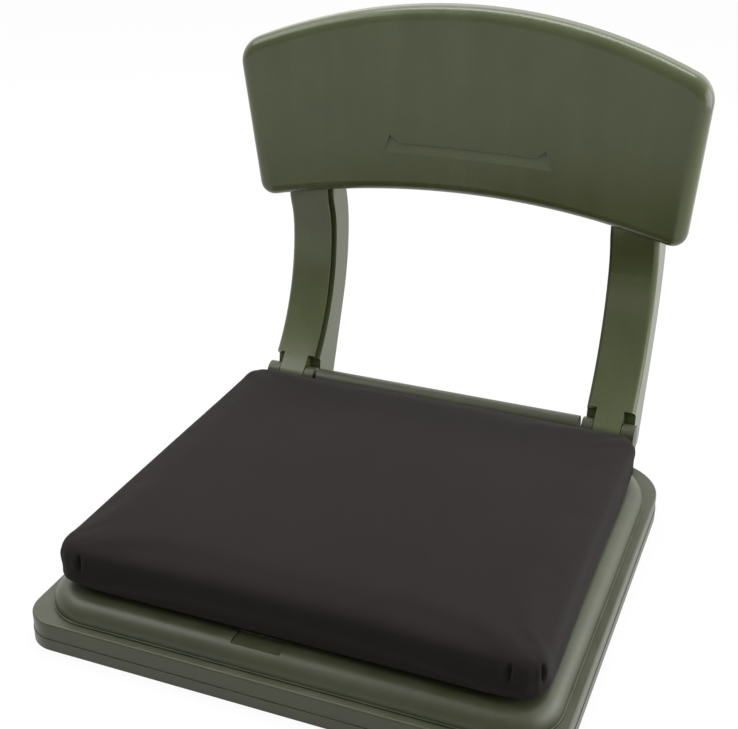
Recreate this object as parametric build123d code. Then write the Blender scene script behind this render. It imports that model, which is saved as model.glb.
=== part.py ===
from build123d import *
import math
import os

# Driving dimensions in millimetres: +X right, -Y towards the sitter's knees, +Z up.
# The origin is the middle of the skirt's open bottom, on the bucket's axis.

# Seat base, a lid that drops over a square bucket's rim
BASE_WIDTH = 340.0
BASE_DEPTH = 328.0
FRONT_CORNER = 21.0
REAR_CORNER = 43.0
PLATEAU_FRONT_CORNER = 34.0
PLATEAU_REAR_CORNER = 58.0
BASE_WALL = 3.5
SKIRT_HEIGHT = 19.5
SKIRT_BAND_HEIGHT = 8.0
SKIRT_BAND_STEP = 0.4
SKIRT_EDGE = 1.2
LEDGE_WIDTH = 6.0
PLINTH_HEIGHT = 1.2
PLINTH_STEP = 0.8
PLINTH_EDGE = 0.4
PLATEAU_HEIGHT = 32.0
PLATEAU_EDGE = 11.5
BASE_RIB_THICKNESS = 2.4
BASE_RIB_DEPTH = 8.0
BASE_RIB_PITCH = 80.0
BASE_RIBS = 3
RECESS_WIDTH = 32.0
RECESS_CENTRE_X = -14.0
RECESS_DEPTH = 1.0
RECESS_REACH = 20.0

# Hinge along the back of the base
HINGE_HEIGHT = 50.0
KNUCKLE_RADIUS = 8.0
PIN_RADIUS = 3.0
PIN_HEAD_RADIUS = 4.6
PIN_HEAD_LENGTH = 1.6
PIN_TAIL = 1.0
PIN_CAP_RADIUS = 5.2
PIN_CAP_LENGTH = 1.6
KNUCKLE_FIT = 0.02
TONGUE_FIT = 0.05
TONGUE_WIDTH = 20.0
TONGUE_SET = 0.2
TONGUE_GAP = 0.6
INNER_KNUCKLE = 8.0
OUTER_KNUCKLE = 9.6
RAIL_GAP = 3.0
RAIL_WALL = 3.5
SLOT_GAP = 0.6
STOP_GAP = 0.3

# Curved leg, a channel bent about one centre and open to the rear
LEG_WIDTH = 36.0
LEG_CENTRE_X = 126.0
LEG_DEPTH = 30.0
LEG_BEND = 136.0
LEG_RISE = 108.0
LEG_WALL = 3.5
LEG_WEB = 7.0
LEG_EDGE = 4.0
NECK_BEND = 60.0
NECK_LEAN = 20.0
NECK_RETURN = 40.0
BLADE_HEIGHT = 92.0
BLADE_TIP_DEPTH = 15.0
NOTCH_HEIGHT = 16.0
FOOT_LENGTH = 32.0
HEEL_DROP = 22.0
TONGUE_ROOT = 6.0
GROOVE_LIP = 2.0
GROOVE_WIDTH = 3.5
GROOVE_DEPTH = 6.5
LIP_SETBACK = 3.0
LEG_RIB_THICKNESS = 2.5
LEG_RIB_SET = 3.0
LEG_RIB_ANGLES = (-22.0, -11.0, 0.0)

# Back panel, an arched board that is hollow towards the sitter
PANEL_TOP_WIDTH = 345.0
PANEL_TAPER = 20.0
PANEL_CORNER_RISE = 56.5
PANEL_TOP_RISE = 90.2
PANEL_CORNER_DROP = 62.5
PANEL_BOTTOM_DROP = 49.0
PANEL_TOP_CORNER = 20.0
PANEL_BOTTOM_CORNER = 10.5
PANEL_CURVE = 660.0
PANEL_DEPTH = 15.0
PANEL_SKIN = 3.5
PANEL_EDGE = 9.0
PANEL_LEAN = 4.0
PANEL_ABOVE_HINGE = 200.0
PANEL_BEHIND_HINGE = 35.0
PANEL_RIB_THICKNESS = 2.4
PANEL_RIB_PITCH = 62.0
PANEL_RIBS = 3
BOSS_RADIUS = 6.0
SCREW_RADIUS = 2.0
SCREW_FIT = 0.02
SCREW_LENGTH = 14.0
SCREW_HEAD_RADIUS = 4.0
SCREW_HEAD_LENGTH = 2.6
SCREW_HOLE_SPARE = 1.0
SCREW_COUNT = 3
SCREW_PITCH = 30.0
SCREW_FIRST = 16.0
LEG_NOTCH_GAP = 0.4
PICK_REACH = 0.02

# Moulded crease across the panel's front
CREASE_HALF = 52.0
CREASE_TIP_X = 59.0
CREASE_FOOT_X = 64.0
CREASE_LINE = -11.0
CREASE_TIP = -5.0
CREASE_FOOT = -19.0
CREASE_DEPTH = 2.0

# Seat cushion
CUSHION_SIDE_SET = 14.5
CUSHION_FRONT_SET = 20.5
CUSHION_HINGE_SET = 20.5
CUSHION_TAPER = 6.0
CUSHION_TOP = 70.0
CUSHION_WIDEST = 57.0
CUSHION_CORNER = 17.0
CUSHION_DRAW = 2.0
CUSHION_TUCK = 3.0
CUSHION_CROWN = 4500.0
CUSHION_EDGE = 9.0
CUSHION_COVER = 1.2
CUSHION_PLAY = 0.3
TAPE_THICKNESS = 1.0
TAPE_WIDTH = 25.0
TAPE_LENGTH = 180.0
TAPE_SPREAD = 180.0

# Places that follow from the driving dimensions
BACK_FACE = BASE_DEPTH / 2 - LEDGE_WIDTH
HINGE_Y = BACK_FACE - KNUCKLE_RADIUS
TONGUE_CENTRE_X = LEG_CENTRE_X + TONGUE_SET
TONGUE_INNER = TONGUE_CENTRE_X - TONGUE_WIDTH / 2
TONGUE_OUTER = TONGUE_CENTRE_X + TONGUE_WIDTH / 2
INNER_FACE = TONGUE_INNER - TONGUE_GAP
OUTER_FACE = TONGUE_OUTER + TONGUE_GAP
KNUCKLE_START = INNER_FACE - INNER_KNUCKLE
KNUCKLE_END = OUTER_FACE + OUTER_KNUCKLE
CAP_SEAT = KNUCKLE_END - PIN_CAP_LENGTH
HEAD_SEAT = CAP_SEAT - PIN_HEAD_LENGTH
RAIL_END = KNUCKLE_START - RAIL_GAP
SLOT_FLOOR = HINGE_HEIGHT - KNUCKLE_RADIUS - SLOT_GAP
BEND_Y = HINGE_Y - math.sqrt((LEG_BEND + KNUCKLE_RADIUS) ** 2 - LEG_RISE**2)
BEND_Z = HINGE_HEIGHT + LEG_RISE
EYE_ANGLE = -math.degrees(math.asin(LEG_RISE / (LEG_BEND + KNUCKLE_RADIUS)))
NOTCH_ANGLE = -math.degrees(math.asin((LEG_RISE - NOTCH_HEIGHT) / LEG_BEND))
NECK_Y = BEND_Y + LEG_BEND - NECK_BEND
RETURN_Y = NECK_Y + (NECK_BEND + NECK_RETURN) * math.cos(math.radians(NECK_LEAN))
RETURN_Z = BEND_Z + (NECK_BEND + NECK_RETURN) * math.sin(math.radians(NECK_LEAN))
BLADE_Y = RETURN_Y - NECK_RETURN
BLADE_TOP = RETURN_Z + BLADE_HEIGHT
PANEL_BOTTOM_WIDTH = PANEL_TOP_WIDTH - PANEL_TAPER
PANEL_Y = HINGE_Y + PANEL_BEHIND_HINGE
PANEL_Z = HINGE_HEIGHT + PANEL_ABOVE_HINGE
HOOK_TAPE_Z = PLATEAU_HEIGHT
LOOP_TAPE_Z = HOOK_TAPE_Z + TAPE_THICKNESS
CUSHION_BOTTOM = LOOP_TAPE_Z + TAPE_THICKNESS
CUSHION_FRONT = CUSHION_FRONT_SET - BASE_DEPTH / 2
CUSHION_BACK = HINGE_Y - CUSHION_HINGE_SET
CUSHION_DEPTH = CUSHION_BACK - CUSHION_FRONT
CUSHION_CENTRE_Y = (CUSHION_BACK + CUSHION_FRONT) / 2
CUSHION_FRONT_WIDTH = BASE_WIDTH - 2 * CUSHION_SIDE_SET
CUSHION_BACK_WIDTH = CUSHION_FRONT_WIDTH - CUSHION_TAPER
SIDES = {"left": -1, "right": 1}
HALF_TURN = 180


def lid_block(inset, front_corner, rear_corner, low, high):
    """An upright block with the lid's plan, set in from its outline: small front and wide rear corners."""
    width, depth = BASE_WIDTH - 2 * inset, BASE_DEPTH - 2 * inset
    corners = Rectangle(width, depth).vertices().sort_by(Axis.Y)
    plan = fillet(corners[:2], front_corner - inset)
    plan = fillet(plan.vertices().sort_by(Axis.Y)[-2:], rear_corner - inset)
    return extrude(Pos(0, 0, low) * plan, amount=high - low)


def round_top(block, radius):
    """Rounds the edge of a block's top face."""
    return fillet(block.faces().sort_by(Axis.Z)[-1].edges(), radius)


def cross_bar(edges, start_x, end_x):
    """A side profile drawn in Y and Z, carried from one X to another."""
    low = min(start_x, end_x)
    return Pos(low, 0, 0) * extrude(make_face(edges), amount=abs(end_x - start_x), dir=(1, 0, 0))


def outline(points):
    """A closed run of straight edges through points given as (y, z)."""
    return Polyline([(0, y, z) for y, z in points], close=True).edges()


def cross_rod(radius, start_x, end_x, y=HINGE_Y, z=HINGE_HEIGHT):
    """A round bar along X."""
    middle = Pos((start_x + end_x) / 2, y, z)
    return middle * Rot(0, 90, 0) * Cylinder(radius, abs(end_x - start_x))


# Seat base


def middle_block(inset, high, edge):
    """A block with the plan of the lid's raised middle, with a round top edge."""
    front = PLATEAU_FRONT_CORNER + LEDGE_WIDTH
    rear = PLATEAU_REAR_CORNER + LEDGE_WIDTH
    return round_top(lid_block(LEDGE_WIDTH + inset, front, rear, 0, high), edge)


def plateau(inset):
    """The raised middle of the lid, rolled over to its top, set in from its outside by an inset."""
    return middle_block(PLINTH_STEP + inset, PLATEAU_HEIGHT - inset, PLATEAU_EDGE - inset)


def base_envelope():
    """The lid's outside: banded skirt, ledge, low plinth, plateau rolled over its edge, and hinge ridge."""
    band = lid_block(0, FRONT_CORNER, REAR_CORNER, 0, SKIRT_BAND_HEIGHT)
    skirt = lid_block(SKIRT_BAND_STEP, FRONT_CORNER, REAR_CORNER, 0, SKIRT_HEIGHT)
    plinth = middle_block(0, SKIRT_HEIGHT + PLINTH_HEIGHT, PLINTH_EDGE)
    return band + round_top(skirt, SKIRT_EDGE) + plinth + plateau(0) + hinge_ridge()


def hinge_ridge():
    """Round-topped wall from the ledge up to the hinge axis, from one outer knuckle to the other."""
    foot = SKIRT_HEIGHT - BASE_WALL / 2
    front = HINGE_Y - KNUCKLE_RADIUS
    wall = outline([(front, foot), (BACK_FACE, foot), (BACK_FACE, HINGE_HEIGHT), (front, HINGE_HEIGHT)])
    ridge = cross_bar(wall, -KNUCKLE_END, KNUCKLE_END)
    return ridge + cross_rod(KNUCKLE_RADIUS, -KNUCKLE_END, KNUCKLE_END)


def base_hollow():
    """The space inside the lid: a mouth for the bucket's rim, the room under the plateau, the rail's core."""
    wall = BASE_WALL + SKIRT_BAND_STEP
    mouth = lid_block(wall, FRONT_CORNER, REAR_CORNER, -BASE_WALL, SKIRT_HEIGHT - BASE_WALL)
    core_width = 2 * (KNUCKLE_RADIUS - RAIL_WALL)
    core = Pos(0, HINGE_Y, HINGE_HEIGHT / 2) * Box(2 * (RAIL_END - RAIL_WALL), core_width, HINGE_HEIGHT)
    return mouth + plateau(BASE_WALL) + core


def base_ribs():
    """A square grid of ribs under the plateau, let into its walls."""
    level = PLATEAU_HEIGHT - BASE_WALL - BASE_RIB_DEPTH
    tall = BASE_RIB_DEPTH + BASE_WALL / 2
    grid = None
    for place in range(BASE_RIBS):
        offset = (place - (BASE_RIBS - 1) / 2) * BASE_RIB_PITCH
        along = Pos(0, offset, level + tall / 2) * Box(BASE_WIDTH, BASE_RIB_THICKNESS, tall)
        across = Pos(offset, 0, level + tall / 2) * Box(BASE_RIB_THICKNESS, BASE_DEPTH, tall)
        grid = along + across if grid is None else grid + along + across
    return grid & plateau(BASE_WALL / 2)


def hinge_cuts(side):
    """The tongue's slot, the gap beside the rail, the pin's bore and the seat for its head and cap."""
    tall = 3 * KNUCKLE_RADIUS
    room = 4 * KNUCKLE_RADIUS

    def gap(inner, outer):
        middle = Pos(side * (inner + outer) / 2, HINGE_Y, SLOT_FLOOR + tall / 2)
        return middle * Box(outer - inner, room, tall)

    bore = cross_rod(PIN_RADIUS + KNUCKLE_FIT, side * RAIL_END, side * KNUCKLE_END)
    seat = cross_rod(PIN_CAP_RADIUS + KNUCKLE_FIT, side * HEAD_SEAT, side * KNUCKLE_END)
    return gap(INNER_FACE, OUTER_FACE) + gap(RAIL_END, KNUCKLE_START) + bore + seat


def finger_recess():
    """Shallow flat cut at the plateau's front, to get fingers under the cushion."""
    front = -BASE_DEPTH / 2 + LEDGE_WIDTH
    cut = Pos(RECESS_CENTRE_X, front + RECESS_REACH / 2, PLATEAU_HEIGHT)
    return cut * Box(RECESS_WIDTH, RECESS_REACH, 2 * RECESS_DEPTH)


def seat_base():
    body = base_envelope() - base_hollow() - finger_recess() + base_ribs()
    for side in SIDES.values():
        body -= hinge_cuts(side)
    return body


def hinge_pin(side):
    """Steel pin pushed in from outside, with a flat head at its outer end."""
    shank = cross_rod(PIN_RADIUS, side * (KNUCKLE_START - PIN_TAIL), side * HEAD_SEAT)
    head = cross_rod(PIN_HEAD_RADIUS, side * HEAD_SEAT, side * CAP_SEAT)
    return shank + head


def pin_cap(side):
    """Push-in cap over the pin's head, flush with the knuckle's end."""
    return cross_rod(PIN_CAP_RADIUS, side * CAP_SEAT, side * KNUCKLE_END)


# Legs


def polar(centre_y, centre_z, radius, angle):
    """A point of the side view at an angle up from the rearward direction."""
    turn = math.radians(angle)
    return (0, centre_y + radius * math.cos(turn), centre_z + radius * math.sin(turn))


def leg_arc(centre_y, centre_z, radius, start, end):
    """An arc of the side view between two angles."""
    points = [polar(centre_y, centre_z, radius, angle) for angle in (start, (start + end) / 2, end)]
    return ThreePointArc(*points)


def leg_line(depth, start_angle):
    """The leg's front line set back by a depth: bend, neck, return and straight blade."""
    bend = leg_arc(BEND_Y, BEND_Z, LEG_BEND + depth, start_angle, 0)
    neck = leg_arc(NECK_Y, BEND_Z, NECK_BEND + depth, 0, NECK_LEAN)
    back = leg_arc(RETURN_Y, RETURN_Z, NECK_RETURN - depth, NECK_LEAN + HALF_TURN, HALF_TURN)
    blade = Line((0, BLADE_Y + depth, RETURN_Z), (0, BLADE_Y + depth, BLADE_TOP))
    return [bend, neck, back, blade]


def leg_band(near, far, start_angle):
    """The closed strip between two depths, from a start angle up to the blade's top."""
    front, rear = leg_line(near, start_angle), leg_line(far, start_angle)
    foot = Line(front[0] @ 0, rear[0] @ 0)
    top = Line(front[-1] @ 1, rear[-1] @ 1)
    return front + rear + [foot, top]


def leg_end(depth):
    """A point of the leg's square-cut lower end, as (y, z)."""
    _, y, z = polar(BEND_Y, BEND_Z, LEG_BEND + depth, NOTCH_ANGLE)
    return (y, z)


def leg_foot():
    """The foot behind the knuckles: straight rear edge, and a flat heel that meets the base as a stop."""
    tangent_angle = NOTCH_ANGLE / 2
    _, top_y, top_z = polar(BEND_Y, BEND_Z, LEG_BEND + LEG_DEPTH, tangent_angle)
    heel_z = HINGE_HEIGHT - HEEL_DROP
    heel_y = top_y + (top_z - heel_z) * math.tan(math.radians(tangent_angle))
    stop_y = BACK_FACE + STOP_GAP
    stop = [(stop_y, HINGE_HEIGHT - KNUCKLE_RADIUS), (stop_y, heel_z)]
    corners = [leg_end(KNUCKLE_RADIUS), *stop, (heel_y, heel_z), (top_y, top_z)]
    runs = zip(corners, corners[1:])
    lines = [Line((0, *first), (0, *second)) for first, second in runs]
    _, rear_y, rear_z = polar(BEND_Y, BEND_Z, LEG_BEND + KNUCKLE_RADIUS, tangent_angle)
    inside = leg_arc(BEND_Y, BEND_Z, LEG_BEND + KNUCKLE_RADIUS, NOTCH_ANGLE, tangent_angle)
    return lines + [inside, Line((0, rear_y, rear_z), (0, top_y, top_z))]


def leg_tongue():
    """Finger between the knuckles: as thick as its round eye, rooted in the leg's end."""
    thick = 2 * KNUCKLE_RADIUS
    root = NOTCH_ANGLE + math.degrees(TONGUE_ROOT / LEG_BEND)
    front = leg_arc(BEND_Y, BEND_Z, LEG_BEND, EYE_ANGLE, root)
    rear = leg_arc(BEND_Y, BEND_Z, LEG_BEND + thick, EYE_ANGLE, root)
    strip = [front, rear, Line(front @ 0, rear @ 0), Line(front @ 1, rear @ 1)]
    eye = cross_rod(KNUCKLE_RADIUS, TONGUE_INNER, TONGUE_OUTER)
    return eye + cross_bar(strip, TONGUE_INNER, TONGUE_OUTER)


def leg_ribs(inner, outer):
    """Cross ribs inside the channel, square to the bend."""
    near, far = LEG_BEND + LEG_WEB / 2, LEG_BEND + LEG_DEPTH - LEG_RIB_SET
    half = math.degrees(LEG_RIB_THICKNESS / 2 / LEG_BEND)
    ribs = []
    for angle in LEG_RIB_ANGLES:
        corners = [(near, angle - half), (far, angle - half), (far, angle + half), (near, angle + half)]
        points = [polar(BEND_Y, BEND_Z, radius, turn)[1:] for radius, turn in corners]
        ribs.append(cross_bar(outline(points), inner, outer))
    return ribs


def front_edges(body, x):
    """The edges of a leg along its front line on one side."""
    spots = [Vector(x, 0, 0) + edge @ 0.5 for edge in leg_line(0, NOTCH_ANGLE)]

    def on_line(edge):
        return any((edge @ 0.5 - spot).length < PICK_REACH for spot in spots)

    return [edge for edge in body.edges() if on_line(edge)]


def screw_heights():
    return [RETURN_Z + SCREW_FIRST + place * SCREW_PITCH for place in range(SCREW_COUNT)]


def screw_hole(radius, start_y, end_y, z, x=LEG_CENTRE_X):
    """A round bar along Y."""
    return Pos(x, (start_y + end_y) / 2, z) * Rot(90, 0, 0) * Cylinder(radius, end_y - start_y)


def right_leg():
    inner = LEG_CENTRE_X - LEG_WIDTH / 2
    outer = LEG_CENTRE_X + LEG_WIDTH / 2
    body = cross_bar(leg_band(0, LEG_DEPTH, NOTCH_ANGLE), inner, outer)
    body = fillet(front_edges(body, outer), LEG_EDGE)
    body += cross_bar(leg_foot(), inner, outer)
    # the blade behind the panel tapers towards its top
    reach = 2 * LEG_DEPTH
    taper = outline(
        [
            (BLADE_Y + LEG_DEPTH, RETURN_Z),
            (BLADE_Y + BLADE_TIP_DEPTH, BLADE_TOP),
            (BLADE_Y + reach, BLADE_TOP),
            (BLADE_Y + reach, RETURN_Z),
        ]
    )
    taper_cut = cross_bar(taper, inner, outer)
    body -= taper_cut
    # the channel, open to the rear and closed at the foot and at the tip
    pocket_start = NOTCH_ANGLE + math.degrees(FOOT_LENGTH / (LEG_BEND + LEG_DEPTH))
    pocket = cross_bar(leg_band(LEG_WEB, LEG_DEPTH, pocket_start), inner + LEG_WALL, outer - LEG_WALL)
    lip = Pos(LEG_CENTRE_X, BLADE_Y + LEG_DEPTH / 2, BLADE_TOP) * Box(LEG_WIDTH, reach, 2 * LEG_WALL)
    body -= pocket - lip
    for rib in leg_ribs(inner + LEG_WALL, outer - LEG_WALL):
        body += rib
    # the step and the shadow groove along the inner side
    body -= cross_bar(leg_band(0, GROOVE_LIP, NOTCH_ANGLE), inner, inner + LIP_SETBACK)
    groove = leg_band(GROOVE_LIP, GROOVE_LIP + GROOVE_WIDTH, NOTCH_ANGLE)
    body -= cross_bar(groove, inner, inner + GROOVE_DEPTH)
    body += leg_tongue()
    body -= cross_rod(PIN_RADIUS + TONGUE_FIT, TONGUE_INNER, TONGUE_OUTER)
    near, far = BLADE_Y - SCREW_HOLE_SPARE, BLADE_Y + LEG_WEB + SCREW_HOLE_SPARE
    for z in screw_heights():
        body -= screw_hole(SCREW_RADIUS + SCREW_FIT, near, far, z)
    return body


def screws(x):
    """Pan-head screws from the leg's channel into the panel's bosses."""
    head_y = BLADE_Y + LEG_WEB
    group = []
    for z in screw_heights():
        shank = screw_hole(SCREW_RADIUS, head_y - SCREW_LENGTH, head_y, z, x)
        head = screw_hole(SCREW_HEAD_RADIUS, head_y, head_y + SCREW_HEAD_LENGTH, z, x)
        group.append(shank + head)
    return Compound(children=group)


# Back panel


def panel_outline(inset=0.0):
    """Arched outline in X and Z about the panel's reference point."""
    top, bottom = PANEL_TOP_WIDTH / 2, PANEL_BOTTOM_WIDTH / 2
    edges = [
        ThreePointArc((-top, PANEL_CORNER_RISE), (0, PANEL_TOP_RISE), (top, PANEL_CORNER_RISE)),
        Line((top, PANEL_CORNER_RISE), (bottom, -PANEL_CORNER_DROP)),
        ThreePointArc((bottom, -PANEL_CORNER_DROP), (0, -PANEL_BOTTOM_DROP), (-bottom, -PANEL_CORNER_DROP)),
        Line((-bottom, -PANEL_CORNER_DROP), (-top, PANEL_CORNER_RISE)),
    ]
    face = make_face(edges)
    corners = face.vertices().sort_by(Axis.Y)
    face = fillet(corners[2:], PANEL_TOP_CORNER)
    face = fillet(face.vertices().sort_by(Axis.Y)[:2], PANEL_BOTTOM_CORNER)
    return offset(face, -inset) if inset else face


def panel_layer(near, far, inset=0.0):
    """The part of the curved board between two depths behind its front face."""
    tall = 2 * (PANEL_TOP_RISE + PANEL_CORNER_DROP)
    ring = Cylinder(PANEL_CURVE + far, tall) - Cylinder(PANEL_CURVE + near, tall)
    board = extrude(Plane.XZ * panel_outline(inset), amount=PANEL_CURVE, both=True)
    return (Pos(0, -PANEL_CURVE, 0) * ring) & board


def panel_shell(near, far, inset, edge):
    """A layer of the board with its front edge rounded."""
    board = panel_layer(near, far, inset)
    front = board.faces().filter_by(GeomType.CYLINDER).sort_by(SortBy.AREA)[-2:].sort_by(Axis.Y)[0]
    return fillet(front.edges(), edge)


def panel_place():
    """Where the panel's reference point goes, leaning towards the sitter at the top."""
    return Pos(0, PANEL_Y, PANEL_Z) * Rot(PANEL_LEAN, 0, 0)


def panel_ribs():
    """Upright ribs behind the skin, between the legs."""
    tall = 2 * (PANEL_TOP_RISE + PANEL_CORNER_DROP)
    bars = None
    for place in range(PANEL_RIBS):
        x = (place - (PANEL_RIBS - 1) / 2) * PANEL_RIB_PITCH
        bar = Pos(x, 0, 0) * Box(PANEL_RIB_THICKNESS, PANEL_CURVE / 2, tall)
        bars = bar if bars is None else bars + bar
    half_skin = PANEL_SKIN / 2
    return bars & panel_shell(half_skin, PANEL_DEPTH - PANEL_SKIN, half_skin, PANEL_EDGE - half_skin)


def panel_crease():
    """Shallow wedge cut into the front face: a sharp upper line with pointed ends that fades out below."""
    spare = CREASE_DEPTH
    wedge = Polyline(
        [
            (PANEL_CURVE, 0, CREASE_FOOT),
            (PANEL_CURVE + CREASE_DEPTH, 0, CREASE_TIP),
            (PANEL_CURVE - spare, 0, CREASE_TIP),
            (PANEL_CURVE - spare, 0, CREASE_FOOT),
        ],
        close=True,
    )
    span = 4 * math.degrees(CREASE_FOOT_X / PANEL_CURVE)
    turned = Rot(0, 0, 90 - span / 2) * revolve(make_face(wedge.edges()), Axis.Z, span)
    shape = Polyline(
        [
            (-CREASE_FOOT_X, CREASE_FOOT),
            (-CREASE_TIP_X, CREASE_TIP),
            (-CREASE_HALF, CREASE_LINE),
            (CREASE_HALF, CREASE_LINE),
            (CREASE_TIP_X, CREASE_TIP),
            (CREASE_FOOT_X, CREASE_FOOT),
        ],
        close=True,
    )
    mask = extrude(Plane.XZ * make_face(shape.edges()), amount=PANEL_DEPTH * 2, both=True)
    return (Pos(0, -PANEL_CURVE, 0) * turned) & mask


def back_panel():
    board = panel_shell(0, PANEL_DEPTH, 0, PANEL_EDGE) - panel_crease()
    board -= panel_shell(PANEL_SKIN, 2 * PANEL_DEPTH, PANEL_SKIN, PANEL_EDGE - PANEL_SKIN)
    board += panel_ribs()
    board = panel_place() * board
    # the space in front of the panel, which the bosses stop at
    tall = 2 * (PANEL_TOP_RISE + PANEL_CORNER_DROP)
    front_space = panel_place() * Pos(0, -PANEL_CURVE, 0) * Cylinder(PANEL_CURVE + PANEL_SKIN / 2, tall)
    for side in SIDES.values():
        x = side * LEG_CENTRE_X
        notch_width = LEG_WIDTH + 2 * LEG_NOTCH_GAP
        notch = Pos(x, BLADE_Y - LEG_NOTCH_GAP + LEG_DEPTH / 2, (RETURN_Z + BLADE_TOP) / 2 - LEG_DEPTH / 2)
        board -= notch * Box(notch_width, LEG_DEPTH, BLADE_HEIGHT + LEG_DEPTH)
        for z in screw_heights():
            boss = screw_hole(BOSS_RADIUS, BLADE_Y - PANEL_BEHIND_HINGE, BLADE_Y, z, x) - front_space
            tip = BLADE_Y + LEG_WEB - SCREW_LENGTH - SCREW_HOLE_SPARE
            board += boss
            board -= screw_hole(SCREW_RADIUS + SCREW_FIT, tip, BLADE_Y + SCREW_HOLE_SPARE, z, x)
    return board


# Cushion


def pad_section(inset, z):
    """Plan of the pad at one height: a little wider in front, sides drawn in between round corners."""
    front, back = CUSHION_FRONT_WIDTH / 2 - inset, CUSHION_BACK_WIDTH / 2 - inset
    half = CUSHION_DEPTH / 2 - inset
    side = (front + back) / 2 - CUSHION_DRAW
    edges = [
        ThreePointArc((-front, -half), (0, -half + CUSHION_DRAW), (front, -half)),
        ThreePointArc((front, -half), (side, 0), (back, half)),
        ThreePointArc((back, half), (0, half - CUSHION_DRAW), (-back, half)),
        ThreePointArc((-back, half), (-side, 0), (-front, -half)),
    ]
    face = make_face(edges)
    return Pos(0, CUSHION_CENTRE_Y, z) * fillet(face.vertices(), CUSHION_CORNER - inset)


def pad_body(thin):
    """The pad's stuffed form, smaller by a thickness all round: side swell, crown and round edge."""
    sides = loft(
        [
            pad_section(CUSHION_TUCK + thin, CUSHION_BOTTOM + thin),
            pad_section(thin, CUSHION_WIDEST),
            pad_section(CUSHION_TUCK / 2 + thin, CUSHION_TOP + CUSHION_COVER),
        ]
    )
    dome = Pos(0, CUSHION_CENTRE_Y, CUSHION_TOP - thin - CUSHION_CROWN) * Sphere(CUSHION_CROWN)
    body = sides & dome
    top = body.faces().sort_by(Axis.Z)[-1]
    return fillet(top.edges(), CUSHION_EDGE - thin)


def cushion_cover():
    """Top and sides of the cover, open below for the panel that closes it."""
    return pad_body(0.0) - pad_body(CUSHION_COVER) - cushion_underside()


def cushion_foam():
    return pad_body(CUSHION_COVER + CUSHION_PLAY)


def cushion_underside():
    """Flat panel sewn under the cover."""
    panel = pad_section(CUSHION_TUCK + CUSHION_COVER + CUSHION_PLAY, CUSHION_BOTTOM)
    return extrude(panel, amount=CUSHION_COVER)


def tape(side, low):
    x = side * TAPE_SPREAD / 2
    return Pos(x, CUSHION_CENTRE_Y, low + TAPE_THICKNESS / 2) * Box(TAPE_WIDTH, TAPE_LENGTH, TAPE_THICKNESS)


def build():
    leg = right_leg()
    nodes = {
        "seat_base": seat_base(),
        "back_panel": back_panel(),
        "right_leg": leg,
        "left_leg": mirror(leg, about=Plane.YZ),
        "cushion_cover": cushion_cover(),
        "cushion_foam": cushion_foam(),
        "cushion_underside": cushion_underside(),
    }
    for name, side in SIDES.items():
        nodes[name + "_hinge_pin"] = hinge_pin(side)
        nodes[name + "_pin_cap"] = pin_cap(side)
        nodes[name + "_leg_screws"] = screws(side * LEG_CENTRE_X)
        nodes[name + "_hook_tape"] = tape(side, HOOK_TAPE_Z)
        nodes[name + "_loop_tape"] = tape(side, LOOP_TAPE_Z)
    return nodes


os.makedirs("parts", exist_ok=True)
for node, shape in build().items():
    export_step(shape, "parts/" + node + ".step")
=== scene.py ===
import math

import bmesh
import bpy
import numpy as np
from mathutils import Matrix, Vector


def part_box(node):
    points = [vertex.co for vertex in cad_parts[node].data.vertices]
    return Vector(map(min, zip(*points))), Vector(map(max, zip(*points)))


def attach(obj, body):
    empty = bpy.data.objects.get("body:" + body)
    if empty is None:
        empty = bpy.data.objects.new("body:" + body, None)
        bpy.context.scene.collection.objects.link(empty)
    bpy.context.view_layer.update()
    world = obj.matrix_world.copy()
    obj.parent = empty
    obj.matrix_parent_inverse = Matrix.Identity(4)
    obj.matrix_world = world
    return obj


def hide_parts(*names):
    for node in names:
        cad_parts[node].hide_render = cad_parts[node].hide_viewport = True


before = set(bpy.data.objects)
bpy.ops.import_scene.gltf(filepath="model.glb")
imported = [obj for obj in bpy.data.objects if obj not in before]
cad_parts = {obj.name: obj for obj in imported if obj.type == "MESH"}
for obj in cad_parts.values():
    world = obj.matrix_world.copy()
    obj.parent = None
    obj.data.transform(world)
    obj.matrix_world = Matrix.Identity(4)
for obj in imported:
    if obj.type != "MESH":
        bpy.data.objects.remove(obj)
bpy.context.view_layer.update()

# Camera, as the photograph was taken: place, direction and framing
CAMERA_PLACE = (0.26681, -0.67895, 0.50682)
CAMERA_AZIMUTH = 22.0622
CAMERA_ELEVATION = 25.6617
CAMERA_LENS = 62.4
CAMERA_SENSOR = 36.0
CAMERA_SHIFT = (0.0115, -0.0131)

# Finishes, as plain screen colours
OLIVE = (84, 91, 57)
BASE_OLIVE = (62, 67, 43)
OLIVE_PALE = (128, 132, 106)
CAP_BLACK = (34, 35, 33)
CAP_PALE = (90, 90, 86)
CLOTH_BLACK = (39, 35, 34)
CLOTH_WORN = (52, 48, 47)
TAPE_BLACK = (28, 28, 28)
PIN_STEEL = (96, 97, 98)
ZINC = (150, 152, 156)
METAL_RUBBED = (205, 205, 205)
DUST_GREY = (150, 148, 138)

# Moulded plastic: its darkest and palest cloud and its painted crevice shade as shares of its own
# colour, how strongly flecks, rubbed edges and painted crevice shade show, and how much duller clouds,
# flow marks and dust make it
PLASTIC_DARK = 0.90
PLASTIC_PALE = 1.08
# Painted shade: how dark the crevice shade is, as a share of the plastic's own colour
PAINTED_SHADE_DARK = 0.25
FLECK_SHARE = 0.08
PLASTIC_RUB = 0.5
# Painted shade: how strongly the crevice shade shows
PAINTED_SHADE_SHARE = 0.7
CLOUD_DULL = 0.05
FLOW_DULL = 0.04
DUST_DULL = 0.4

# Cloth and metal: their fading and dulling, and how strongly fuzz and rubbed edges show
CLOTH_FADE = 0.85
FUZZ_SHARE = 0.22
CLOTH_RUB = 0.25
METAL_DARK = 0.6
METAL_RUB = 0.5
METAL_DULL = 0.18

# Range of a noise that shows as soft clouds
CLOUDS = (0.3, 0.7)

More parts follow.
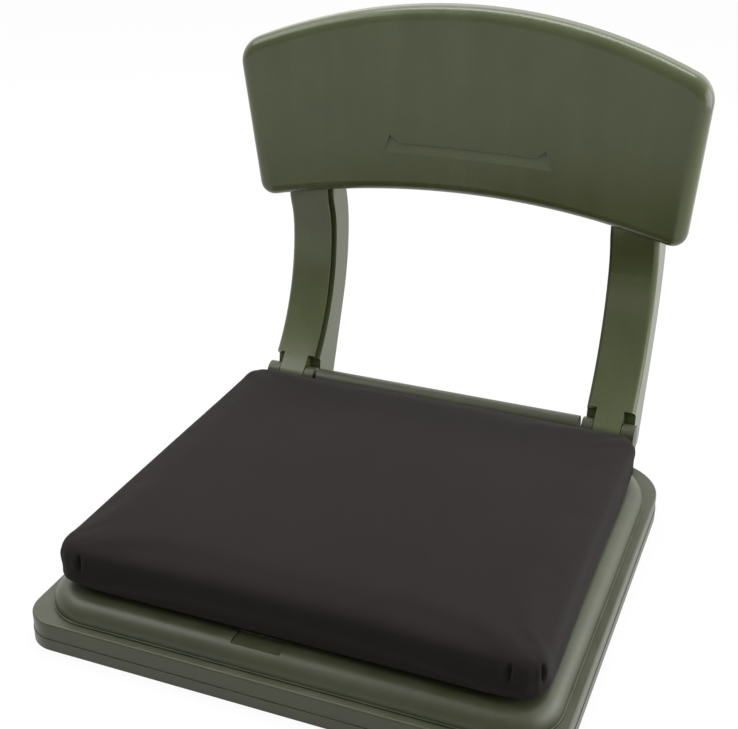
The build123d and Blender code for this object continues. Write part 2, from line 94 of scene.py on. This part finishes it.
# Studio light: the surround's strength at the horizon and overhead, how bright it is in gloss,
# how much of each its front gives, where its front ends and its back begins, the point that the
# lamps look at, and each lamp's place, width, depth and power
HORIZON = 0.4
OVERHEAD = 0.9
GLOSS_LIGHT = 1.5
FRONT_LIGHT = 0.9
FRONT_GLOSS = 0.25
FRONT_TO_BACK = (-0.5, 0.4)
LAMP_AIM = (0.0, 0.0, 0.12)
LAMPS = (
    ("left_softbox", (-0.95, -0.2, 1.35), 0.9, 0.7, 7.0),
    ("back_softbox", (-0.1, 0.55, 1.5), 1.2, 0.35, 9.0),
    ("right_softbox", (0.85, 0.2, 0.32), 0.9, 0.55, 5.0),
)

# Floor paper: its size, its two whites as seen, its colour to the light it throws back, and its
# glow as seen
FLOOR_SIZE = 8.0
WHITE = (255, 255, 255)
FLOOR_WHITE = (252, 252, 252)
FLOOR_BOUNCE = (150, 150, 150)
FLOOR_GLOW = 0.92

# Cushion: the cover's room round the foam, its cloth under stuffing pressure, the furthest that a
# point may move and the least that counts, how high its underside is held, and how far its crown
# stands above the cover's own top
COVER_ROOM = 0.0042
CLOTH_VOXEL = 0.0045
CLOTH_PRESSURE = 4.0
CLOTH_QUALITY = 5
CLOTH_MASS = 0.3
CLOTH_FRAMES = 20
CLOTH_SWELL = 0.0025
NO_MOVE = 1e-9
HELD_RISE = 0.0045
CROWN_SPARE = 0.0015

# Tucks sewn at the cushion's corners: the corner's radius, where round it they are in degrees,
# their middle height and half their length, the fold's width and depth, how far round it the cloth
# is drawn in and how finely that is divided, and the gather beside it
CORNER = 0.017
TUCK_TURNS = (33.0, 97.0)
TUCK_HEIGHT = 0.054
TUCK_HALF = 0.0065
TUCK_WIDTH = 0.0011
TUCK_DEPTH = 0.0036
TUCK_REACH = 0.014
TUCK_CUTS = 2
GATHER_RISE = 0.18
GATHER_PLACE = 3 * TUCK_WIDTH
GATHER_WIDTH = 1.5 * TUCK_WIDTH

# The cushion's lower corners: how far they are drawn up, how far in plan that reaches, and the
# height that it ends at
CORNER_LIFT = 0.0035
LIFT_REACH = 0.02
LIFT_TOP = 0.052


def linear(colour):
    """A plain 0 to 255 screen colour as the shader's linear colour, by the standard screen curve."""
    out = []
    for value in colour:
        share = value / 255
        out.append(share / 12.92 if share <= 0.04045 else ((share + 0.055) / 1.055) ** 2.4)
    return (*out, 1.0)


def shaded(colour, share):
    """A screen colour made darker or lighter by a share, as the shader's linear colour."""
    return tuple(min(1.0, value * share) for value in linear(colour)[:3]) + (1.0,)


# Shader helpers

def feed(tree, socket, value):
    """Link a socket to an output, or set it to a plain value."""
    if isinstance(value, bpy.types.NodeSocket):
        tree.links.new(value, socket)
    else:
        socket.default_value = value


def place(tree, kind, sockets=None, **settings):
    """A shader node with its settings, and its inputs set or linked by name or number."""
    made = tree.nodes.new("ShaderNode" + kind)
    for key, value in settings.items():
        setattr(made, key, value)
    for key, value in (sockets or {}).items():
        feed(tree, made.inputs[key], value)
    return made


def sums(tree, operation, *values):
    """One arithmetic node."""
    return place(tree, "Math", dict(enumerate(values)), operation=operation).outputs[0]


def times(tree, first, second):
    """One value times another."""
    return sums(tree, "MULTIPLY", first, second)


def plus(tree, first, second):
    """One value added to another."""
    return sums(tree, "ADD", first, second)


def vectors(tree, operation, sockets):
    """One vector arithmetic node."""
    return place(tree, "VectorMath", sockets, operation=operation).outputs


def axes_of(tree, vector):
    """A vector's X, Y and Z."""
    return place(tree, "SeparateXYZ", {0: vector}).outputs


def ramp(tree, value, low, high, to_low=0.0, to_high=1.0):
    """A value from one range to another, held at its ends."""
    sockets = {"Value": value, "From Min": low, "From Max": high, "To Min": to_low, "To Max": to_high}
    return place(tree, "MapRange", sockets).outputs["Result"]


def between(tree, share, low, high):
    """A value between two others, by a share from 0 to 1."""
    return ramp(tree, share, 0.0, 1.0, low, high)


def mixed(tree, share, first, second):
    """Two colours mixed, by the sockets that the mix node keeps for colours."""
    return place(tree, "Mix", {0: share, 6: first, 7: second}, data_type="RGBA").outputs[2]


def laid_over(tree, colour, over, mask, share):
    """A colour with another over it, where a mask shows and as strongly as a share says."""
    return mixed(tree, times(tree, mask, share), colour, over)


def part_place(tree):
    """Where a point is on the part, in metres, carried along when the part moves."""
    return place(tree, "TexCoord").outputs["Object"]


def face_normal(tree):
    """The way that a face looks."""
    return place(tree, "NewGeometry").outputs["Normal"]


def speckle(tree, where, scale, detail, roughness=0.5):
    """Noise at a scale per metre."""
    sockets = {"Vector": where, "Scale": scale, "Detail": detail, "Roughness": roughness}
    return place(tree, "TexNoise", sockets).outputs


def effect(name, inputs, outputs):
    """An empty shader node group with its sockets: the tree, its inputs and its outputs by name."""
    tree = bpy.data.node_groups.new(name, "ShaderNodeTree")
    for label, value in inputs.items():
        made = tree.interface.new_socket(label, in_out="INPUT", socket_type="NodeSocketFloat")
        made.default_value = value
    for label in outputs:
        tree.interface.new_socket(label, in_out="OUTPUT", socket_type="NodeSocketFloat")
    entry, leave = tree.nodes.new("NodeGroupInput"), tree.nodes.new("NodeGroupOutput")
    return tree, entry.outputs, leave.inputs


def use(tree, group, sockets=None):
    """A node group placed in a material with its own values."""
    made = tree.nodes.new("ShaderNodeGroup")
    made.node_tree = group
    for key, value in (sockets or {}).items():
        feed(tree, made.inputs[key], value)
    return made.outputs


# Effects that several finishes share

def moulded_grain():
    """Fine spark-eroded grain of a moulded face, with slow unevenness under it."""
    inputs = {"Grain per metre": 1500.0, "Cloud per metre": 22.0}
    tree, entry, leave = effect("moulded_grain", inputs, ["Height", "Cloud", "Fleck"])
    where = part_place(tree)
    grain = speckle(tree, where, entry["Grain per metre"], detail=3.0, roughness=0.55)["Fac"]
    cloud = speckle(tree, where, entry["Cloud per metre"], detail=4.0, roughness=0.6)["Fac"]
    peel, peel_rise = speckle(tree, where, scale=90.0, detail=1.0)["Fac"], 1.6
    feed(tree, leave["Height"], plus(tree, grain, times(tree, peel, peel_rise)))
    feed(tree, leave["Cloud"], ramp(tree, cloud, *CLOUDS))
    feed(tree, leave["Fleck"], ramp(tree, grain, low=0.58, high=0.75))
    return tree


def rubbed_edge():
    """Where a tight edge is rubbed, broken up by a patchy noise."""
    tree, entry, leave = effect("rubbed_edge", {"Reach": 0.0012, "Patch per metre": 60.0}, ["Mask"])
    soft = place(tree, "Bevel", {"Radius": entry["Reach"]}, samples=6).outputs[0]
    turn = vectors(tree, "DOT_PRODUCT", {0: soft, 1: face_normal(tree)})["Value"]
    patch = speckle(tree, part_place(tree), entry["Patch per metre"], detail=5.0, roughness=0.7)["Fac"]
    edge = ramp(tree, turn, low=0.97, high=0.85)
    feed(tree, leave["Mask"], times(tree, edge, ramp(tree, patch, low=0.38, high=0.66)))
    return tree


def settled_dust():
    """Thin dust on faces that look up, gathered in clouds."""
    tree, entry, leave = effect("settled_dust", {"Cloud per metre": 35.0, "Amount": 0.1}, ["Mask"])
    upward = axes_of(tree, face_normal(tree))["Z"]
    cloud = speckle(tree, part_place(tree), entry["Cloud per metre"], detail=6.0, roughness=0.65)["Fac"]
    share = times(tree, ramp(tree, upward, low=0.45, high=0.95), ramp(tree, cloud, low=0.35, high=0.8))
    feed(tree, leave["Mask"], times(tree, share, entry["Amount"]))
    return tree


def painted_crevice_shade():
    """Painted shade in creases, grooves and corners, where the surrounds hem them in, broken up
    unevenly.
    """
    tree, entry, leave = effect("painted_crevice_shade", {"Reach": 0.004, "Patch per metre": 70.0}, ["Mask"])
    open_share = place(tree, "AmbientOcclusion", {"Distance": entry["Reach"]}, samples=8).outputs["AO"]
    patch = speckle(tree, part_place(tree), entry["Patch per metre"], detail=4.0, roughness=0.6)["Fac"]
    tight = ramp(tree, open_share, low=0.92, high=0.45)
    uneven = ramp(tree, patch, low=0.3, high=0.6, to_low=0.6)
    feed(tree, leave["Mask"], times(tree, tight, uneven))
    return tree


def flow_marks():
    """Upright flow marks that a large moulding keeps, in patches."""
    tree, entry, leave = effect("flow_marks", {"Marks per metre": 55.0}, ["Mask"])
    where, upright = part_place(tree), (1.0, 1.0, 0.05)
    stretch = place(tree, "Mapping", {"Vector": where, "Scale": upright}).outputs[0]
    lines = speckle(tree, stretch, entry["Marks per metre"], detail=3.0)["Fac"]
    patch = speckle(tree, where, scale=18.0, detail=2.0)["Fac"]
    uneven = ramp(tree, patch, low=0.35, high=0.65, to_low=0.35)
    feed(tree, leave["Mask"], times(tree, ramp(tree, lines, low=0.40, high=0.70), uneven))
    return tree


def woven_threads():
    """Two sets of crossing threads, over and under, with uneven yarn."""
    inputs = {"Threads per metre": 2600.0, "Unevenness": 0.35}
    tree, entry, leave = effect("woven_threads", inputs, ["Height", "Fuzz", "Cloud"])
    where, threads, middle = part_place(tree), entry["Threads per metre"], (0.5, 0.5, 0.5)
    wobble = speckle(tree, where, scale=260.0, detail=2.0)["Color"]
    shift = vectors(tree, "SUBTRACT", {0: wobble, 1: middle})[0]
    reach = sums(tree, "DIVIDE", entry["Unevenness"], threads)
    sway = vectors(tree, "SCALE", {0: shift, "Scale": reach})[0]
    axes = axes_of(tree, vectors(tree, "ADD", {0: where, 1: sway})[0])
    turn = times(tree, threads, math.pi)
    across = sums(tree, "SINE", times(tree, plus(tree, axes["X"], axes["Z"]), turn))
    along = sums(tree, "SINE", times(tree, sums(tree, "SUBTRACT", axes["Y"], axes["Z"]), turn))
    knot = sums(tree, "ABSOLUTE", times(tree, across, along))
    fuzz = speckle(tree, where, scale=2400.0, detail=2.0)["Fac"]
    cloud = speckle(tree, where, scale=14.0, detail=5.0, roughness=0.6)["Fac"]
    feed(tree, leave["Height"], plus(tree, knot, fuzz))
    feed(tree, leave["Fuzz"], ramp(tree, fuzz, low=0.35, high=0.75))
    feed(tree, leave["Cloud"], ramp(tree, cloud, *CLOUDS))
    return tree


GRAIN, RUB, DUST = moulded_grain(), rubbed_edge(), settled_dust()
# The crevice effect paints shade into creases, grooves and corners
PAINTED_SHADE, FLOW, WEAVE = painted_crevice_shade(), flow_marks(), woven_threads()


# Finishes

def finish(name, uniform):
    """A material with one shader whose uniform values are set on its own sockets."""
    made = bpy.data.materials.new(name)
    made.use_nodes = True
    shader = made.node_tree.nodes["Principled BSDF"]
    for label, value in uniform.items():
        shader.inputs[label].default_value = value
    return made, made.node_tree, shader.inputs


def raised(tree, shader, height, strength, distance):
    """Bump from a height."""
    made = place(tree, "Bump", {"Height": height, "Strength": strength, "Distance": distance})
    feed(tree, shader["Normal"], made.outputs[0])


def moulded_plastic(name, body, pale, dust, gloss, flow):
    """Satin moulded plastic: clouds, grain, flow marks, rubbed edges, dust on top faces, painted crevice
    shade.
    """
    made, tree, shader = finish(name, {"Specular IOR Level": 0.5})
    grain = use(tree, GRAIN)
    edge = use(tree, RUB)["Mask"]
    settled = use(tree, DUST, {"Amount": dust})["Mask"]
    marks = use(tree, FLOW)["Mask"]
    painted_shade = use(tree, PAINTED_SHADE)["Mask"]
    colour = mixed(tree, grain["Cloud"], shaded(body, PLASTIC_DARK), shaded(body, PLASTIC_PALE))
    for mask, share in ((marks, flow), (grain["Fleck"], FLECK_SHARE), (edge, PLASTIC_RUB)):
        colour = laid_over(tree, colour, linear(pale), mask, share)
    colour = mixed(tree, settled, colour, linear(DUST_GREY))
    # Painted shade: a dark copy of the plastic's own colour, laid in creases, grooves and corners
    colour = laid_over(tree, colour, shaded(body, PAINTED_SHADE_DARK), painted_shade, PAINTED_SHADE_SHARE)
    rough = between(tree, grain["Cloud"], gloss, gloss + CLOUD_DULL)
    rough = plus(tree, rough, times(tree, marks, FLOW_DULL))
    rough = plus(tree, rough, times(tree, settled, DUST_DULL))
    feed(tree, shader["Base Color"], colour)
    feed(tree, shader["Roughness"], rough)
    raised(tree, shader, grain["Height"], strength=0.08, distance=0.0002)
    return made


def cushion_cloth():
    """Black upholstery cloth: fine weave, a little sheen, slow fading, paler where it is rubbed."""
    uniform = {"Sheen Weight": 0.04, "Sheen Roughness": 0.5, "Specular IOR Level": 0.1}
    made, tree, shader = finish("cushion_cloth", uniform)
    weave = use(tree, WEAVE)
    edge = use(tree, RUB, {"Reach": 0.006, "Patch per metre": 40.0})["Mask"]
    colour = mixed(tree, weave["Cloud"], linear(CLOTH_BLACK), shaded(CLOTH_BLACK, CLOTH_FADE))
    for mask, share in ((weave["Fuzz"], FUZZ_SHARE), (edge, CLOTH_RUB)):
        colour = laid_over(tree, colour, linear(CLOTH_WORN), mask, share)
    feed(tree, shader["Base Color"], colour)
    feed(tree, shader["Roughness"], between(tree, weave["Fuzz"], low=0.8, high=0.95))
    raised(tree, shader, weave["Height"], strength=0.3, distance=0.0002)
    return made


def tape_pile(name, threads, strength):
    """Hook or loop tape: dense pile over a woven ground."""
    made, tree, shader = finish(name, {"Sheen Weight": 0.1, "Specular IOR Level": 0.25})
    weave = use(tree, WEAVE, {"Threads per metre": threads, "Unevenness": 0.8})
    colour = mixed(tree, weave["Fuzz"], linear(TAPE_BLACK), linear(CLOTH_BLACK))
    feed(tree, shader["Base Color"], colour)
    feed(tree, shader["Roughness"], between(tree, weave["Cloud"], low=0.7, high=0.95))
    raised(tree, shader, weave["Height"], strength, distance=0.0006)
    return made


def turned_metal(name, colour, gloss):
    """Plated steel: fine grain, dull clouds, rubbed edges."""
    made, tree, shader = finish(name, {"Metallic": 1.0})
    grain = use(tree, GRAIN, {"Grain per metre": 2600.0, "Cloud per metre": 180.0})
    edge = use(tree, RUB, {"Reach": 0.0004, "Patch per metre": 300.0})["Mask"]
    tone = mixed(tree, grain["Cloud"], linear(colour), shaded(colour, METAL_DARK))
    tone = laid_over(tree, tone, linear(METAL_RUBBED), edge, METAL_RUB)
    feed(tree, shader["Base Color"], tone)
    feed(tree, shader["Roughness"], between(tree, grain["Cloud"], gloss, gloss + METAL_DULL))
    raised(tree, shader, grain["Height"], strength=0.1, distance=0.0001)
    return made


def dress(node, material):
    """Give a CAD node its finish."""
    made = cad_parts[node]
    made.data.materials.clear()
    made.data.materials.append(material)


def dress_frame():
    """Finishes of the parts whose CAD shape shows as it is."""
    base = moulded_plastic("olive_base", BASE_OLIVE, OLIVE_PALE, dust=0.10, gloss=0.36, flow=0.05)
    panel = moulded_plastic("olive_panel", OLIVE, OLIVE_PALE, dust=0.04, gloss=0.22, flow=0.12)
    dress("seat_base", base)
    dress("back_panel", panel)
    pairs = {
        "leg": moulded_plastic("olive_leg", OLIVE, OLIVE_PALE, dust=0.05, gloss=0.24, flow=0.06),
        "pin_cap": moulded_plastic("black_cap", CAP_BLACK, CAP_PALE, dust=0.05, gloss=0.38, flow=0.0),
        "hinge_pin": turned_metal("pin_steel", PIN_STEEL, gloss=0.3),
        "leg_screws": turned_metal("screw_zinc", ZINC, gloss=0.3),
        "hook_tape": tape_pile("hook_tape", threads=700.0, strength=0.9),
        "loop_tape": tape_pile("loop_tape", threads=420.0, strength=0.7),
    }
    for side in ("left", "right"):
        for node, material in pairs.items():
            dress(side + "_" + node, material)


# Cushion

def points_of(mesh):
    """A mesh's points as an array."""
    flat = np.empty(len(mesh.vertices) * 3, np.float32)
    mesh.vertices.foreach_get("co", flat)
    return flat.reshape(-1, 3).astype(float)


def set_points(mesh, points):
    """Write an array of points to a mesh."""
    mesh.vertices.foreach_set("co", points.astype(np.float32).ravel())
    mesh.update()


def only(piece):
    """Make one piece the active and only selected one."""
    for other in bpy.context.selected_objects:
        other.select_set(False)
    bpy.context.view_layer.objects.active = piece
    piece.select_set(True)


def even_skin(piece, floor):
    """Grow the foam's form in plan to the outside of the cover and remake its skin in even faces."""
    points = points_of(piece.data)
    low, high = points.min(axis=0), points.max(axis=0)
    middle = (low + high) / 2
    middle[2] = floor
    room = np.array((2 * COVER_ROOM, 2 * COVER_ROOM, 0.0))
    set_points(piece.data, middle + (points - middle) * (1 + room / (high - low)))
    remesh = piece.modifiers.new("even_skin", "REMESH")
    remesh.mode = "VOXEL"
    remesh.voxel_size = CLOTH_VOXEL
    bpy.ops.object.modifier_apply(modifier=remesh.name)
    points = points_of(piece.data)
    points[:, 2] = np.maximum(points[:, 2], floor)
    set_points(piece.data, points)


def swell(piece, floor):
    """Blow the cushion up as cloth under pressure, its underside held, and let no point move far."""
    start = points_of(piece.data)
    held = piece.vertex_groups.new(name="held")
    held.add([int(spot) for spot in np.flatnonzero(start[:, 2] < floor + HELD_RISE)], 1.0, "REPLACE")
    cloth = piece.modifiers.new("stuffing", "CLOTH")
    cloth.settings.use_pressure = True
    cloth.settings.uniform_pressure_force = CLOTH_PRESSURE
    cloth.settings.effector_weights.gravity = 0.0
    cloth.settings.vertex_group_mass = held.name
    cloth.settings.quality = CLOTH_QUALITY
    cloth.settings.mass = CLOTH_MASS
    scene = bpy.context.scene
    for step in range(1, CLOTH_FRAMES + 1):
        scene.frame_set(step)
    shown = piece.evaluated_get(bpy.context.evaluated_depsgraph_get())
    made = bpy.data.meshes.new_from_object(shown)
    swollen = points_of(made)
    bpy.data.meshes.remove(made)
    piece.modifiers.remove(cloth)
    piece.vertex_groups.clear()
    scene.frame_set(1)
    move = swollen - start
    length = np.linalg.norm(move, axis=1, keepdims=True)
    points = start + move * np.minimum(1.0, CLOTH_SWELL / np.maximum(length, NO_MOVE))
    points[:, 2] = np.maximum(points[:, 2], floor)
    set_points(piece.data, points)


def settle(mesh, floor):
    """Set the cushion down on its tapes, with its crown just above the cover's own top."""
    points = points_of(mesh)
    low, high = points[:, 2].min(), points[:, 2].max()
    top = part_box("cushion_cover")[1][2] + CROWN_SPARE
    points[:, 2] = floor + (points[:, 2] - low) * (top - floor) / (high - low)
    set_points(mesh, points)


def lift_corners(mesh, floor):
    """Draw the underside up at the four corners, where the cover is gathered."""
    points = points_of(mesh)
    low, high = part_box("cushion_cover")
    for x in (low[0], high[0]):
        for y in (low[1], high[1]):
            apart = np.hypot(points[:, 0] - x, points[:, 1] - y)
            share = np.clip((LIFT_TOP - points[:, 2]) / (LIFT_TOP - floor), 0.0, 1.0)
            points[:, 2] += CORNER_LIFT * share * np.exp(-((apart / LIFT_REACH) ** 2))
    set_points(mesh, points)


def tuck_spots():
    """Where the cover is tucked, two places round each corner: a point in plan and the way out of it."""
    low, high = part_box("cushion_cover")
    spots = []
    for side in (-1, 1):
        for end, edge in ((-1, low[1]), (1, high[1])):
            corner = np.array((side * (high[0] - CORNER), edge - end * CORNER))
            for turn in TUCK_TURNS:
                way = np.array((side * math.cos(math.radians(turn)), end * math.sin(math.radians(turn))))
                spots.append((corner + CORNER * way, way))
    return spots


def finer_corners(mesh, spots):
    """Divide the faces round the tucks, so that they can hold a narrow fold."""
    work = bmesh.new()
    work.from_mesh(mesh)
    middles = np.array([face.calc_center_median() for face in work.faces])
    near = np.zeros(len(middles), bool)
    for spot, _ in spots:
        near |= np.linalg.norm(middles[:, :2] - spot, axis=1) < TUCK_REACH
    near &= np.abs(middles[:, 2] - TUCK_HEIGHT) < TUCK_HALF + TUCK_REACH / 2
    edges = {edge for face, chosen in zip(work.faces, near) if chosen for edge in face.edges}
    bmesh.ops.subdivide_edges(work, edges=list(edges), cuts=TUCK_CUTS, use_grid_fill=True)
    work.to_mesh(mesh)
    work.free()


def tuck(mesh, spots):
    """Press the corner tucks in, each with a slight gather beside it."""
    points = points_of(mesh)
    for spot, way in spots:
        off = points[:, :2] - spot
        along = off @ np.array((-way[1], way[0]))
        near = (np.linalg.norm(off, axis=1) < TUCK_REACH) & (off @ way > -TUCK_REACH)
        rise = np.clip(1.0 - ((points[:, 2] - TUCK_HEIGHT) / TUCK_HALF) ** 2, 0.0, 1.0)
        fold = np.exp(-((along / TUCK_WIDTH) ** 2))
        gather = GATHER_RISE * np.exp(-(((np.abs(along) - GATHER_PLACE) / GATHER_WIDTH) ** 2))
        push = np.where(near, rise * (gather - fold), 0.0) * TUCK_DEPTH
        points[:, :2] += push[:, None] * way
    set_points(mesh, points)


def cushion():
    """The stuffed cushion, from the foam's form."""
    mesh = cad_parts["cushion_foam"].data.copy()
    mesh.name = "seat_cushion"
    mesh.materials.clear()
    piece = bpy.data.objects.new("seat_cushion", mesh)
    bpy.context.scene.collection.objects.link(piece)
    only(piece)
    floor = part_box("cushion_underside")[0][2]
    even_skin(piece, floor)
    swell(piece, floor)
    smooth = piece.modifiers.new("round_skin", "SUBSURF")
    smooth.levels = smooth.render_levels = 1
    bpy.ops.object.modifier_apply(modifier=smooth.name)
    settle(piece.data, floor)
    lift_corners(piece.data, floor)
    spots = tuck_spots()
    finer_corners(piece.data, spots)
    tuck(piece.data, spots)
    for polygon in piece.data.polygons:
        polygon.use_smooth = True
    piece.data.materials.append(cushion_cloth())
    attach(piece, "seat")
    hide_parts("cushion_cover", "cushion_foam", "cushion_underside")


# Studio

def light_rays(tree):
    """Which rays come from the camera, and which come off gloss or through glass."""
    rays = place(tree, "LightPath").outputs
    shiny = sums(tree, "MAXIMUM", rays["Is Glossy Ray"], rays["Is Transmission Ray"])
    return rays["Is Camera Ray"], shiny


def floor_paper():
    """White paper as seen and in gloss, which keeps the shadow; greyer to the light it throws back."""
    made, tree, shader = finish("floor_paper", {"Roughness": 0.9, "Specular IOR Level": 0.1})
    cloud = speckle(tree, part_place(tree), scale=3.0, detail=2.0)["Fac"]
    white = mixed(tree, ramp(tree, cloud, *CLOUDS), linear(FLOOR_WHITE), linear(WHITE))
    seen = sums(tree, "MAXIMUM", *light_rays(tree))
    feed(tree, shader["Base Color"], mixed(tree, seen, linear(FLOOR_BOUNCE), white))
    glow = place(tree, "Emission", {"Color": linear(WHITE), "Strength": 1.0}).outputs[0]
    plain = tree.nodes["Principled BSDF"].outputs[0]
    both = place(tree, "MixShader", {0: times(tree, seen, FLOOR_GLOW), 1: plain, 2: glow}).outputs[0]
    feed(tree, tree.nodes["Material Output"].inputs["Surface"], both)
    return made


def surround():
    """Studio surround, white as seen, that lights more from above and behind than from the front."""
    world = bpy.data.worlds.new("studio_surround")
    bpy.context.scene.world = world
    world.use_nodes = True
    tree = world.node_tree
    tree.nodes.clear()
    direct, shiny = light_rays(tree)
    way = axes_of(tree, place(tree, "TexCoord").outputs["Generated"])
    light = between(tree, way["Z"], HORIZON, OVERHEAD)
    light = times(tree, light, ramp(tree, way["Y"], *FRONT_TO_BACK, FRONT_LIGHT, 1.0))
    light = times(tree, light, sums(tree, "SUBTRACT", 1.0, shiny))
    gloss = ramp(tree, way["Y"], *FRONT_TO_BACK, GLOSS_LIGHT * FRONT_GLOSS, GLOSS_LIGHT)
    light = plus(tree, light, times(tree, gloss, shiny))
    light = plus(tree, times(tree, light, sums(tree, "SUBTRACT", 1.0, direct)), direct)
    back = place(tree, "Background", {"Color": linear(WHITE), "Strength": light})
    feed(tree, place(tree, "OutputWorld").inputs[0], back.outputs[0])


def studio():
    """Floor, surround and soft lamps."""
    bpy.ops.mesh.primitive_plane_add(size=FLOOR_SIZE, location=(0.0, 0.0, 0.0))
    floor = bpy.context.object
    floor.name = "studio_floor"
    floor.data.materials.append(floor_paper())
    surround()
    for name, spot, wide, deep, power in LAMPS:
        lamp = bpy.data.lights.new(name, "AREA")
        lamp.shape = "RECTANGLE"
        lamp.size, lamp.size_y = wide, deep
        lamp.energy = power
        held = bpy.data.objects.new(name, lamp)
        bpy.context.scene.collection.objects.link(held)
        held.location = spot
        aim = Vector(LAMP_AIM) - Vector(spot)
        held.rotation_euler = aim.to_track_quat("-Z", "Y").to_euler()
    bpy.context.scene.view_settings.view_transform = "Standard"


def camera():
    """The camera at the photograph's place."""
    made = bpy.data.cameras.new("photo_camera")
    made.sensor_fit = "HORIZONTAL"
    made.sensor_width = CAMERA_SENSOR
    made.lens = CAMERA_LENS
    made.shift_x, made.shift_y = CAMERA_SHIFT
    held = bpy.data.objects.new("photo_camera", made)
    bpy.context.scene.collection.objects.link(held)
    turn, rise = math.radians(CAMERA_AZIMUTH), math.radians(CAMERA_ELEVATION)
    back = Vector((math.sin(turn) * math.cos(rise), -math.cos(turn) * math.cos(rise), math.sin(rise)))
    held.location = CAMERA_PLACE
    held.rotation_mode = "QUATERNION"
    held.rotation_quaternion = (-back).to_track_quat("-Z", "Y")
    bpy.context.scene.camera = held


camera()
studio()
dress_frame()
cushion()
